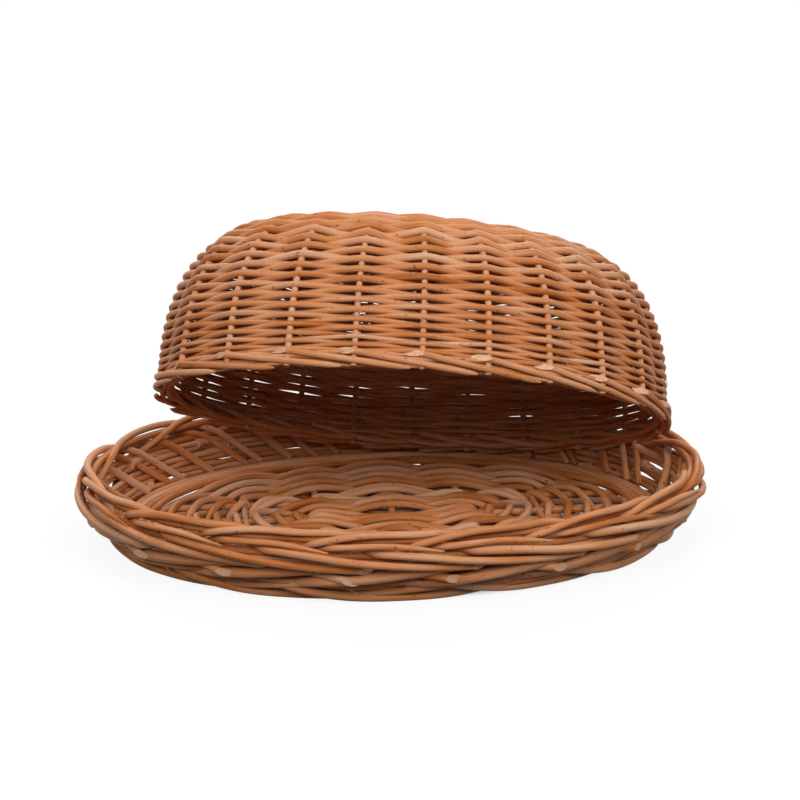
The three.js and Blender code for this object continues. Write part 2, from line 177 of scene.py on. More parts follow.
# Tray wall: rows inside, rods in the border, thick rods outside, and stakes cut off under the border.
# Rows and border rods have the way out and the height, in mm.
WALL_ROWS = (
    (7, 10), (10.5, 13.5), (13.5, 17), (17, 20.5), (19.8, 24), (22.3, 28), (24.5, 32),
    (13, 11), (17, 15),
)
WALL_ROW_RADIUS = 2.2 * MM
WALL_ROW_WAVES = 24
WALL_ROW_SWING = 1.6 * MM
CORE_RODS = ((25.5, 46.5), (25.5, 36), (24.5, 31.5))
CORE_RADIUS = 2.6 * MM
WALL_STRANDS = 16
WALL_STRAND = np.array([
    (-34, 13, 13.5), (-12, 20.5, 16.5), (12, 24.5, 19.5), (35, 26.2, 22.5), (70, 26, 27),
    (105, 23.5, 31.5), (125, 20, 33),
])
WALL_STRAND_RADIUS = 3.6 * MM
WALL_STRAND_SPREAD = (0.88, 1.08)
WALL_STRAND_LEAD = 0.3
WALL_STRAND_STRAY = 0.1
BUTTS = 16
BUTT = np.array([(-45, 19.4, 25), (-25, 23.4, 22.6), (-8, 27.4, 20.4), (0, 28.8, 19.4)])
BUTT_RADIUS = 2.7 * MM
BUTT_SPREAD = (0.9, 1.1)
BUTT_SLANT = 2.0

# Tray foot: strands that come down to it, and thinner ones that rise from it
FOOT_STRANDS = 12
FOOT_STRAND = np.array([
    (0, 15, 14), (22, 16.3, 9.5), (50, 14, 5), (95, 11, 3.2), (135, 8.5, 3.6), (155, 7, 5),
])
FOOT_RADIUS = 2.9 * MM
FOOT_SPREAD = (0.9, 1.05)
FOOT_STRAY = 0.12
FOOT_CORE = (9 * MM, 7 * MM)
RISING_STRAND = np.array([
    (0, 10, 5), (35, 14, 8.5), (75, 18.5, 13.5), (110, 20.5, 18), (130, 20, 21),
])
RISING_RADIUS = 2.3 * MM
RISING_SPREAD = (0.9, 1.1)
RISING_LEAD = 0.4

# Tray base
BASE_HEIGHT = 8.4 * MM
BASE_EDGE = 4 * MM
BASE_PITCH = 7 * MM
BASE_FIRST_ROW = 0.95
BASE_ROW_RADIUS = 2.6 * MM
BASE_ROW_SPREAD = (0.93, 1.05)
BASE_ROW_SINK = 0.8
BASE_ROW_STEPS = 240
BASE_ROW_WOBBLE = 0.002
BASE_HOLE = 4 * MM
BASE_SEAT_ROWS = 4
BASE_SEAT_FIRST_ROW = 0.3
BASE_SEAT_PITCH = 4.9 * MM
BASE_SEAT_HEIGHT = 12 * MM
BASE_SEAT_OVERLAP = 5 * MM
BASE_UNDER_DEPTH = 4 * MM
BASE_UNDER_HEIGHT = 6.8 * MM
BASE_LONG_STICKS = (-34 * MM, 0, 34 * MM)
BASE_SHORT_STICKS = (-104 * MM, -52 * MM, 0, 52 * MM, 104 * MM)
BASE_STICK_RADIUS = 2.5 * MM
BASE_STICK_STEPS = 12

# Level rings of the crown and the base, and rings round the tray
RING_STEPS = 240
RING_WAVES = (5, 9, 17)
RING_WOBBLE = 0.25 * MM
TRAY_RING_STEPS = 360
TRAY_RING_WOBBLE = 0.3 * MM
TRAY_RING_RADIUS_WAVES = (3, 7, 11)
TRAY_RING_RADIUS_WOBBLE = 0.03
SLOW_WAVES = (3, 5, 9)

# Torn fibres: each sets out along a short slant, a share of the way round and some way down
FRAY_RADIUS = 0.32 * MM
FRAY_TAPER = (1, 0.4)
FRAY_STEPS = 9
FRAY_SIDES = 5
FRAY_LENGTHS = (7 * MM, 14 * MM)
FRAY_LIFTS = (0.5 * MM, 2 * MM)
FRAY_TONE = 0.95
LID_FRAYS = 14
LID_FRAY_OFF = 4 * MM
LID_FRAY_START = 20 * MM
LID_FRAY_TURN = 0.004
LID_FRAY_DROP = 2 * MM
FOOT_FRAYS = 6
FOOT_FRAY_OUT = 20 * MM
FOOT_FRAY_TURN = 0.006
FOOT_FRAY_HEIGHTS = np.array([12, 9]) * MM

# Willow skin: scales of its noises along and across the rod, and how they make its colour
STREAK_SCALE = (35, 900, 900)
BLOTCH_SCALE = (22, 120, 120)
SPOT_SCALE = (260, 420, 420)
TONE_WEIGHT = 0.55
STREAK_WEIGHT = 0.9
SHADE_RANGE = (0.5, 1.78)
SKIN_COLORS = (
    (0.05, (0.18, 0.036, 0.003)), (0.4, (0.42, 0.138, 0.038)),
    (0.62, (0.51, 0.216, 0.096)), (0.95, (0.58, 0.335, 0.205)),
)
SPOT_RANGE = (0.7, 0.76)
SPOT_STRENGTH = 0.7
SPOT_COLOR = (0.10, 0.03, 0.008, 1)
SKIN_SPECULAR = 0.09
SKIN_SPECULAR_TINT = (1, 0.66, 0.44, 1)
SKIN_ROUGHNESS = (0.36, 0.56)
SKIN_BUMP = 0.45
BUMP_DISTANCE = 0.4 * MM

# Cut wood
FIBRE_SCALE = (300, 1800, 1800)
CUT_COLORS = ((0.3, (0.42, 0.20, 0.10)), (0.55, (0.62, 0.35, 0.21)), (0.75, (0.74, 0.48, 0.32)))
CUT_ROUGHNESS = (0.65, 0.85)
CUT_BUMP = 0.4

# Floor: its grey to the light and to the camera, and how white it glows near the tray and under it
FLOOR_SIZE = 60
FLOOR_ROUGHNESS = 0.9
FLOOR_GREYS = (0.05, 0.9)
SHADOW_REACHES = (0.35, 0.8)
SHADOW_GLOWS = (0.9, 1)
FOOT_OVAL = (0.194, 0.14)
UNDER_REACHES = (0.9, 1)
UNDER_GLOWS = (0.05, 1)

# Light: the world's level to the object and to the camera, and the lamps
WORLD_LEVELS = (0.07, 1.0)
LAMP_SIZE = 1.2
LAMP_TARGET = Vector((0, 0, 0.1))
LAMP_SIDE = 0.85
LAMP_DISTANCE = 1.45
LAMP_HEIGHT = 1.32
KEY_POWER = 25
BACK_POWER = 17
TOP_LAMP_PLACE = (0, -0.4, 2.0)
TOP_LAMP_POWER = 8

# Camera
CAMERA_PLACE = (-0.1466, -1.3309, 0.4735)
CAMERA_FORWARD = Vector((0.1086, 0.9559, -0.2728))
CAMERA_LENS = 90
CAMERA_SENSOR = 36

rng = np.random.default_rng(SEED)


def unit(vectors):
    return vectors / np.linalg.norm(vectors, axis=-1, keepdims=True)


def upward(count):
    return np.tile([0, 0, 1.0], (count, 1))


def numbered(name, count, digits=1):
    """Names of nodes, counted from 1."""
    return [f"{name}_{k + 1:0{digits}d}" for k in range(count)]


def curve_through(at, knots, values):
    """A smooth curve through the values at the knots."""
    slopes = np.gradient(values, knots, axis=0)
    i = np.clip(np.searchsorted(knots, at) - 1, 0, len(knots) - 2)
    step = (knots[i + 1] - knots[i])[:, None]
    u = (at - knots[i])[:, None] / step
    low, high = values[i], values[i + 1]
    rise = high - low
    start, end = slopes[i] * step, slopes[i + 1] * step
    return low + u * start + u ** 2 * (3 * rise - 2 * start - end) + u ** 3 * (start + end - 2 * rise)


def wander(along, waves, amount):
    """A smooth random wave round a closed run: along goes from 0 to 1."""
    total = np.zeros_like(along)
    for count in waves:
        total += rng.normal() * np.sin(TURN * (count * along + rng.random()))
    return amount * total / math.sqrt(len(waves))


def pick_tone(middle=TONE_MIDDLE, spread=TONE_SPREAD):
    return float(np.clip(rng.normal(middle, spread), 0, 1))


class Bundle:
    """Rods gathered into one mesh, with each rod's tone and its own straightened coordinates."""

    def __init__(self):
        self.points = []
        self.quads = []
        self.caps = []
        self.pale_caps = []
        self.tones = []
        self.grains = []
        self.count = 0

    def add_points(self, points, grain, tone):
        first = self.count
        self.points.append(points)
        self.grains.append(grain)
        self.tones.append(np.full(len(points), tone))
        self.count += len(points)
        return first

    def add_cap(self, ring, middle, grain, tone, backward, pale):
        sides = len(ring)
        centre = grain.mean(axis=0)
        first = self.add_points(np.vstack([ring, middle]), np.vstack([grain, centre]), tone)
        j = np.arange(sides)
        k = (j + 1) % sides
        edge = (k, j) if backward else (j, k)
        fan = np.stack([edge[0], edge[1], np.full(sides, sides)], axis=1) + first
        (self.pale_caps if pale else self.caps).append(fan)

    def add_rod(self, path, facing, radius, tone, slants=(0, 0), sides=ROD_SIDES):
        """A rod along a path. A slant above 0 cuts that end at a slope and leaves it pale."""
        radius = np.broadcast_to(radius, len(path))
        along = unit(np.gradient(path, axis=0))
        out = unit(facing - along * np.sum(facing * along, axis=1, keepdims=True))
        across = np.cross(along, out)
        steps = np.linalg.norm(np.diff(path, axis=0), axis=1)
        length = np.concatenate([[0], np.cumsum(steps)])
        turn = TURN * np.arange(sides) / sides
        swing, lift = np.cos(turn), np.sin(turn)
        ring = out[:, None] * swing[:, None] + across[:, None] * lift[:, None]
        points = path[:, None] + radius[:, None, None] * ring
        for slant, sign, away in ((slants[0], 1, length), (slants[1], -1, length[-1] - length)):
            if slant > 0:
                reach = slant * radius
                shift = sign * reach * np.clip(1 - away / (2 * reach.max()), 0, 1)
                points = points + (shift[:, None] * swing)[:, :, None] * along[:, None]
        grain = np.empty_like(points)
        grain[:, :, 0] = length[:, None] + rng.random() * GRAIN_SHIFT
        grain[:, :, 1] = radius[:, None] * swing
        grain[:, :, 2] = radius[:, None] * lift
        first = self.add_points(points.reshape(-1, 3), grain.reshape(-1, 3), tone)
        i = np.arange(len(path) - 1)[:, None] * sides
        j = np.arange(sides)[None]
        k = (j + 1) % sides
        quads = np.stack([i + j, i + k, i + sides + k, i + sides + j], axis=2) + first
        self.quads.append(quads.reshape(-1, 4))
        self.add_cap(points[0], path[0], grain[0], tone, True, slants[0] > 0)
        self.add_cap(points[-1], path[-1], grain[-1], tone, False, slants[1] > 0)

    def piece(self, name, body, nodes, slot, materials, place=None):
        """The rods as one piece that rides a body, in place of the nodes named."""
        points = np.vstack(self.points)
        if place is not None:
            turn = np.array(place.to_3x3())
            points = points @ turn.T + np.array(place.translation)
        quads = np.vstack(self.quads)
        plain = np.vstack(self.caps) if self.caps else np.empty((0, 3), int)
        pale = np.vstack(self.pale_caps) if self.pale_caps else np.empty((0, 3), int)
        mesh = bpy.data.meshes.new(name)
        mesh.from_pydata(points.tolist(), [], quads.tolist() + plain.tolist() + pale.tolist())
        for material in materials:
            mesh.materials.append(material)
        which = np.zeros(len(mesh.polygons), dtype=np.int32)
        which[len(quads) + len(plain):] = 1
        mesh.polygons.foreach_set("material_index", which)
        mesh.polygons.foreach_set("use_smooth", np.ones(len(mesh.polygons), dtype=bool))
        tone = mesh.attributes.new("tone", "FLOAT", "POINT")
        tone.data.foreach_set("value", np.concatenate(self.tones).astype(np.float32))
        grain = mesh.attributes.new("grain", "FLOAT_VECTOR", "POINT")
        grain.data.foreach_set("vector", np.vstack(self.grains).astype(np.float32).ravel())
        mesh.update()
        thing = bpy.data.objects.new(name, mesh)
        bpy.context.scene.collection.objects.link(thing)
        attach(thing, body)
        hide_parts(*nodes)


def even_angles():
    """Angles of the lid's rim oval against the share of the way round, measured along its edge."""
    angle = np.linspace(0, TURN, OVAL_STEPS + 1)
    middle = (angle[1:] + angle[:-1]) / 2
    pace = np.hypot(LID_HALF_LENGTH * np.sin(middle), LID_HALF_WIDTH * np.cos(middle))
    reached = np.concatenate([[0], np.cumsum(pace)])
    return reached / reached[-1], angle


EDGE_SHARES, EDGE_ANGLES = even_angles()


def oval_angle(share):
    rounds = np.floor(share)
    return np.interp(share - rounds, EDGE_SHARES, EDGE_ANGLES) + TURN * rounds


def oval_point(share, out, z):
    """A point some way out from the lid's rim oval, and the level direction square to it there."""
    angle = oval_angle(share)
    a, b = LID_HALF_LENGTH + out, LID_HALF_WIDTH + out
    height = np.broadcast_to(z, angle.shape)
    point = np.stack([a * np.cos(angle), b * np.sin(angle), height], axis=-1)
    away = unit(np.stack([b * np.cos(angle), a * np.sin(angle), np.zeros_like(angle)], axis=-1))
    return point, away


def lid_profile():
    """The middle line of the lid's side: length up from the rim, inset, height and outward facing."""
    turn = np.linspace(0, np.pi / 2, PROFILE_STEPS)
    rise = LID_CROWN_EDGE - LID_SHOULDER_START
    z = LID_SHOULDER_START + rise * np.sin(turn)
    inset = LID_LEAN * z + LID_SHOULDER_INSET * (1 - np.cos(turn))
    low = np.linspace(0, LID_SHOULDER_START, PROFILE_STEPS, endpoint=False)
    z = np.concatenate([low, z])
    inset = np.concatenate([LID_LEAN * low, inset])
    rising, leaning = np.gradient(z), np.gradient(inset)
    speed = np.hypot(rising, leaning)
    facing = np.stack([rising / speed, leaning / speed], axis=1)
    inset = inset + LID_MIDDLE_INSET * facing[:, 0]
    z = z - LID_MIDDLE_INSET * facing[:, 1]
    length = np.concatenate([[0], np.cumsum(np.hypot(np.diff(z), np.diff(inset)))])
    return length, inset, z, facing


PROFILE_LENGTH, PROFILE_INSET, PROFILE_Z, PROFILE_FACING = lid_profile()
SIDE_LENGTH = PROFILE_LENGTH[-1]


def lid_point(share, up, off):
    """A point on the lid's side: share of the way round, length up from the rim, and off outwards."""
    up = np.clip(up, 0, SIDE_LENGTH)
    inset = np.interp(up, PROFILE_LENGTH, PROFILE_INSET)
    z = np.interp(up, PROFILE_LENGTH, PROFILE_Z)
    level = np.interp(up, PROFILE_LENGTH, PROFILE_FACING[:, 0])
    rising = np.interp(up, PROFILE_LENGTH, PROFILE_FACING[:, 1])
    point, away = oval_point(share, -inset, z)
    facing = away * np.asarray(level)[..., None]
    facing[..., 2] = rising
    facing = unit(facing)
    return point + facing * np.asarray(off)[..., None], facing


def lid_rows():
    """Heights and rod radii of the rows, which get coarser towards the crown."""
    rows = []
    up = ROW_START
    while True:
        pitch = np.interp(up / MM, ROW_PITCH_UPS, ROW_PITCHES) * MM
        if up > SIDE_LENGTH - pitch / 2:
            return rows
        rows.append((up, pitch * np.interp(up / MM, ROW_PITCH_UPS, ROW_FULLNESSES)))
        up += pitch


def add_lid_row(bundle, number, up, radius):
    """A row goes in front of and behind the stakes by turns. Its rods start and end behind one."""
    below_crown = (SIDE_LENGTH - up) / MM
    swing = ROW_SWING * (LID_STAKE_RADIUS + radius) * np.interp(below_crown, TOP_REACHES, TOP_SWINGS)
    if up < RIM_BAND:
        swing *= RIM_BAND_SWING
    proud = TOP_PROUD * np.interp(below_crown, TOP_REACHES, (1, 0))
    sag = CHEVRON_SAG * np.interp(below_crown, CHEVRON_REACHES, CHEVRON_LEVELS)
    start = 2 * rng.integers(LID_STAKES // 2) + (number + 1) % 2
    run = np.linspace(0, 1, LID_STAKES * ROW_STEPS_PER_STAKE + 1)
    wobble = wander(run, ROW_WAVES, ROW_WOBBLE)
    first = 0
    for stakes in ROW_RODS:
        count = stakes * ROW_STEPS_PER_STAKE
        stake = start + first + np.linspace(0, stakes, count + 1)
        wave = ROW_SHARPNESS * np.cos(np.pi * (stake + number))
        side = np.arcsin(wave) / math.asin(ROW_SHARPNESS)
        between = (1 - np.abs(2 * (stake % 1) - 1)) * np.sin(oval_angle(stake / LID_STAKES)) ** 2
        part = slice(first * ROW_STEPS_PER_STAKE, first * ROW_STEPS_PER_STAKE + count + 1)
        height = up - sag * between + wobble[part]
        path, facing = lid_point(stake / LID_STAKES, height, swing * side + proud)
        thick = radius * np.linspace(*ROW_TAPER, count + 1)
        thick = thick * (1 + wander(run[part], ROW_RADIUS_WAVES, ROW_RADIUS_WOBBLE))
        bundle.add_rod(path, facing, thick, pick_tone())
        first += stakes


def add_fray(bundle, ends, facing):
    """A thin torn fibre that stands off a rod, from the first end on towards the second."""
    along = unit(ends[1] - ends[0])
    run = np.linspace(0, 1, FRAY_STEPS)[:, None]
    length = rng.uniform(*FRAY_LENGTHS)
    lift = rng.uniform(*FRAY_LIFTS)
    sag = np.array([0, 0, -rng.uniform(*FRAY_LIFTS)])
    path = ends[0] + along * length * run + facing * lift * run ** 2 + sag * run ** 3
    radius = FRAY_RADIUS * np.linspace(*FRAY_TAPER, FRAY_STEPS)
    bundle.add_rod(path, np.tile(facing, (FRAY_STEPS, 1)), radius, FRAY_TONE, sides=FRAY_SIDES)


def lid_band(up):
    """The node of the lid's side that a row at this height belongs to."""
    if up < LID_SHOULDER_START:
        return "lid_side_weave"
    share = (up - LID_SHOULDER_START) / (SIDE_LENGTH - LID_SHOULDER_START)
    return "lid_shoulder_weave" if share < SHOULDER_SHARE else "lid_top_weave"


def build_lid_side(place, willow):
    bands = {"lid_side_weave": Bundle(), "lid_shoulder_weave": Bundle(), "lid_top_weave": Bundle()}
    for number, (up, radius) in enumerate(lid_rows()):
        add_lid_row(bands[lid_band(up)], number, up, radius)
    for _ in range(LID_FRAYS):
        share = rng.random() + np.array([0, LID_FRAY_TURN])
        up = rng.uniform(LID_FRAY_START, LID_SHOULDER_START) - np.array([0, LID_FRAY_DROP])
        ends, facing = lid_point(share, up, np.full(2, LID_FRAY_OFF))
        add_fray(bands["lid_side_weave"], ends, facing[0])
    for name, bundle in bands.items():
        bundle.piece(name + "_rows", "lid", [name], "willow_weave", willow, place)


def build_lid_stakes(place, willow):
    bundle = Bundle()
    up = np.linspace(LID_STAKE_START, SIDE_LENGTH, LID_STAKE_STEPS)
    off = np.interp(up / MM, LID_STAKE_UPS, LID_STAKE_OFFS) * MM
    for k in range(LID_STAKES):
        path, facing = lid_point(np.full(LID_STAKE_STEPS, k / LID_STAKES), up, off)
        inward = unit(np.array([-path[-1, 0], -path[-1, 1], 0]))
        tuck = path[-1] + inward * LID_STAKE_TUCK + np.array([0, 0, LID_STAKE_TUCK_RISE])
        path = np.vstack([path, tuck])
        facing = np.vstack([facing, facing[-1]])
        radius = LID_STAKE_RADIUS * rng.uniform(*LID_STAKE_SPREAD)
        bundle.add_rod(path, facing, radius, pick_tone(LID_STAKE_TONE, LID_STAKE_TONE_SPREAD))
    nodes = numbered("lid_stake", LID_STAKES, 2)
    bundle.piece("lid_stakes", "lid", nodes, "willow_stake", willow, place)


def build_lid_rim(place, willow):
    """Strands of the rim border: each slants down past two stakes, from a cut end to a thin tip."""
    bundle = Bundle()
    run = np.linspace(0, RIM_STRAND_SPAN, RIM_STRAND_STEPS)
    thin = np.interp(run, RIM_THIN_KNOTS, RIM_THINS)
    for k in range(LID_STAKES):
        share = (k - RIM_STRAND_LEAD + run) / LID_STAKES
        line = curve_through(run, RIM_KNOTS, RIM_OUTER) * MM + rng.normal(0, RIM_STRAND_STRAY, 2)
        path, facing = lid_point(share, line[:, 0], line[:, 1])
        radius = RIM_STRAND_RADIUS * thin * rng.uniform(*RIM_OUTER_SPREAD)
        bundle.add_rod(path, facing, radius, pick_tone(), slants=(RIM_STRAND_SLANT, 0))
        line = curve_through(run, RIM_KNOTS, RIM_INNER) * MM
        path, facing = lid_point(share, line[:, 0], line[:, 1])
        bundle.add_rod(path, -facing, RIM_STRAND_RADIUS * rng.uniform(*RIM_INNER_SPREAD), pick_tone())
    bundle.piece("lid_rim_strands", "lid", ["lid_rim_border"], "willow_border", willow, place)


def woven_oval(a, b, long_sticks, short_sticks, number, steps):
    """Points round an oval, and which side of the sticks the row is on at each: from -1 to 1."""
    angle = np.linspace(0, TURN, steps + 1)
    x, y = a * np.cos(angle), b * np.sin(angle)
    crossings = []
    for side in long_sticks:
        if abs(side) < b:
            turn = math.asin(side / b)
            crossings += [turn % TURN, (np.pi - turn) % TURN]
    for side in short_sticks:
        if abs(side) < a:
            turn = math.acos(side / a)
            crossings += [turn, TURN - turn]
    crossings = np.sort(np.array(crossings))
    ring = np.concatenate([[crossings[-1] - TURN], crossings, [crossings[0] + TURN]])
    phase = np.interp(angle, ring, np.arange(len(ring)))
    return x, y, -np.cos(np.pi * (phase + number))


def add_oval_ring(bundle, a, b, z, radius):
    """A level rod right round an oval."""
    angle = np.linspace(0, TURN, RING_STEPS + 1)
    height = z + wander(angle / TURN, RING_WAVES, RING_WOBBLE)
    path = np.stack([a * np.cos(angle), b * np.sin(angle), height], axis=1)
    bundle.add_rod(path, upward(len(path)), radius, pick_tone())


def add_sticks(bundle, long_sticks, short_sticks, a, b, height, steps, radius):
    """Straight sticks along and across an oval, at the height that a function gives."""
    run = np.linspace(-1, 1, steps)
    for side in long_sticks:
        x = run * a * math.sqrt(1 - (side / b) ** 2)
        y = np.full(steps, side)
        bundle.add_rod(np.stack([x, y, height(x, y)], axis=1), upward(steps), radius, pick_tone())
    for side in short_sticks:
        x = np.full(steps, side)
        y = run * b * math.sqrt(1 - (side / a) ** 2)
        bundle.add_rod(np.stack([x, y, height(x, y)], axis=1), upward(steps), radius, pick_tone())


def build_crown(place, willow):
    inset = LID_LEAN * LID_CROWN_EDGE + LID_SHOULDER_INSET
    edge_a, edge_b = LID_HALF_LENGTH - inset, LID_HALF_WIDTH - inset
    middle = LID_CROWN_EDGE - CROWN_MIDDLE_DEPTH
    radius = CROWN_ROW_RADIUS

    def dome(x, y):
        share = np.clip(np.hypot(x / edge_a, y / edge_b), 0, 1)
        return middle + LID_DOME * (1 - share ** 2)

    bundle = Bundle()
    add_oval_ring(bundle, edge_a - CROWN_PITCH, edge_b - CROWN_PITCH, middle - 2 * radius, radius)
    rows = int((edge_b - CROWN_HOLE) / CROWN_PITCH)
    for number in range(rows):
        depth = (number + CROWN_FIRST_ROW) * CROWN_PITCH
        x, y, side = woven_oval(edge_a - depth, edge_b - depth, CROWN_LONG_STICKS, CROWN_SHORT_STICKS,
                                number, CROWN_ROW_STEPS)
        run = np.linspace(0, 1, len(x))
        z = dome(x, y) + side * (CROWN_STICK_RADIUS + radius * CROWN_ROW_SINK)
        path = np.stack([x, y, z + wander(run, SLOW_WAVES, CROWN_ROW_WOBBLE)], axis=1)
        bundle.add_rod(path, upward(len(x)), radius * rng.uniform(*CROWN_ROW_SPREAD), pick_tone())
    bundle.piece("lid_crown_rows", "lid", ["lid_crown_weave"], "willow_weave", willow, place)

    sticks = Bundle()
    add_sticks(sticks, CROWN_LONG_STICKS, CROWN_SHORT_STICKS, edge_a, edge_b, dome,
               CROWN_STICK_STEPS, CROWN_STICK_RADIUS)
    nodes = numbered("lid_crown_long_stick", len(CROWN_LONG_STICKS))
    nodes += numbered("lid_crown_short_stick", len(CROWN_SHORT_STICKS))
    sticks.piece("lid_crown_sticks", "lid", nodes, "willow_stick", willow, place)


def start_share(number, count, lead, stray):
    """Where one of a count of strands starts, as a share of the way round the tray."""
    return (number + lead + rng.uniform(-stray, stray)) / count


def tray_strand(start, knots):
    """A stiff rod round the tray, a little off its way.

    Gives its path, and the directions away from the border's core and out.
    """
    knots = knots.copy()
    lean = np.linspace(-1, 1, len(knots))[:, None]
    knots[:, 0] += rng.uniform(-STRAND_SHIFT, STRAND_SHIFT)
    knots[:, 1:] += rng.normal(0, STRAND_STRAY, 2) + lean * rng.normal(0, STRAND_LEAN, 2)
    run = np.arange(knots[0, 0], knots[-1, 0], STRAND_STEP / MM)
    line = curve_through(run, knots[:, 0], knots[:, 1:]) * MM
    path, away = oval_point(start + run * MM / BORDER_LENGTH, line[:, 0], line[:, 1])
    facing = away * (line[:, 0] - BORDER_CORE[0])[:, None]
    facing[:, 2] = line[:, 1] - BORDER_CORE[1]
    return path, unit(facing), away


def add_top_strand(bundle, start):
    path, facing, _ = tray_strand(start, TOP_STRAND)
    radius = TOP_RADIUS * rng.uniform(*BORDER_SPREAD)
    bundle.add_rod(path, facing, radius, pick_tone(), sides=THICK_ROD_SIDES)


def add_middle_strand(bundle, start):
    """A strand that runs out to a thin tip."""
    path, facing, _ = tray_strand(start, MIDDLE_STRAND)
    last = len(path) - 1
    thin = np.interp(np.arange(len(path)), [0, last - MIDDLE_TIP_STEPS, last], MIDDLE_THINS)
    radius = MIDDLE_RADIUS * thin * rng.uniform(*BORDER_SPREAD)
    bundle.add_rod(path, facing, radius, pick_tone(), sides=THICK_ROD_SIDES)


def add_long_strand(bundle, start):
    """A strand that ends in a pale cut, turned outwards."""
    knots = LONG_STRAND.copy()
    knots[-1, 0] += rng.uniform(*LONG_END_SHIFTS)
    path, facing, away = tray_strand(start, knots)
    radius = LONG_RADIUS * np.linspace(*LONG_TAPER, len(path)) * rng.uniform(*BORDER_SPREAD)
    bundle.add_rod(path, unit(facing + LONG_CUT_TURN * away), radius, pick_tone(),
                   slants=(0, LONG_SLANT), sides=THICK_ROD_SIDES)


def build_tray_border(willow):
    bundle = Bundle()
    for group in range(BORDER_GROUPS):
        start = start_share(group, BORDER_GROUPS, 0, BORDER_GROUP_STRAY)
        add_top_strand(bundle, start)
        add_middle_strand(bundle, start)
        add_long_strand(bundle, start)
    bundle.piece("tray_border_strands", "tray", ["tray_border"], "willow_border", willow)


def add_tray_ring(bundle, out, z, radius, waves=0, swing=0.0, parity=0):
    """A rod right round the tray, in and out past uprights where it has waves."""
    run = np.linspace(0, 1, TRAY_RING_STEPS + 1)
    weave = swing * np.cos(np.pi * (waves * run + parity))
    wobble = wander(run, SLOW_WAVES, TRAY_RING_WOBBLE)
    path, away = oval_point(run, out + weave, z + wobble)
    thick = radius * (1 + wander(run, TRAY_RING_RADIUS_WAVES, TRAY_RING_RADIUS_WOBBLE))
    bundle.add_rod(path, away, thick, pick_tone())


def build_tray_wall(willow):
    bundle = Bundle()
    for number, (out, z) in enumerate(WALL_ROWS):
        add_tray_ring(bundle, out * MM, z * MM, WALL_ROW_RADIUS, WALL_ROW_WAVES, WALL_ROW_SWING, number)
    for out, z in CORE_RODS:
        add_tray_ring(bundle, out * MM, z * MM, CORE_RADIUS)
    for k in range(WALL_STRANDS):
        start = start_share(k, WALL_STRANDS, WALL_STRAND_LEAD, WALL_STRAND_STRAY)
        path, _, away = tray_strand(start, WALL_STRAND)
        radius = WALL_STRAND_RADIUS * rng.uniform(*WALL_STRAND_SPREAD)
        bundle.add_rod(path, away, radius, pick_tone(), sides=THICK_ROD_SIDES)
    bundle.piece("tray_wall_rods", "tray", ["tray_wall"], "willow_weave", willow)


def build_tray_butts(willow):
    bundle = Bundle()
    for k in range(BUTTS):
        start = start_share(k, BUTTS, WALL_STRAND_LEAD, WALL_STRAND_STRAY)
        path, _, away = tray_strand(start, BUTT)
        radius = BUTT_RADIUS * rng.uniform(*BUTT_SPREAD)
        bundle.add_rod(path, away, radius, pick_tone(), slants=(0, BUTT_SLANT), sides=THICK_ROD_SIDES)
    nodes = numbered("tray_stake", BUTTS, 2)
    bundle.piece("tray_stake_butts", "tray", nodes, "willow_stake", willow)


def build_tray_foot(willow):
    bundle = Bundle()
    add_tray_ring(bundle, FOOT_CORE[0], FOOT_CORE[1], FOOT_RADIUS)
    for k in range(FOOT_STRANDS):
        path, _, away = tray_strand(start_share(k, FOOT_STRANDS, 0, FOOT_STRAY), FOOT_STRAND)
        radius = FOOT_RADIUS * rng.uniform(*FOOT_SPREAD)
        path[:, 2] = np.maximum(path[:, 2], radius)
        bundle.add_rod(path, away, radius, pick_tone(), sides=THICK_ROD_SIDES)
        path, _, away = tray_strand(start_share(k, FOOT_STRANDS, RISING_LEAD, FOOT_STRAY), RISING_STRAND)
        radius = RISING_RADIUS * rng.uniform(*RISING_SPREAD)
        bundle.add_rod(path, away, radius, pick_tone(), sides=THICK_ROD_SIDES)
    for _ in range(FOOT_FRAYS):
        share = rng.random() + np.array([0, FOOT_FRAY_TURN])
        ends, away = oval_point(share, FOOT_FRAY_OUT, FOOT_FRAY_HEIGHTS)
        add_fray(bundle, ends, away[0])
    bundle.piece("tray_foot_rods", "tray", ["tray_foot"], "willow_border", willow)


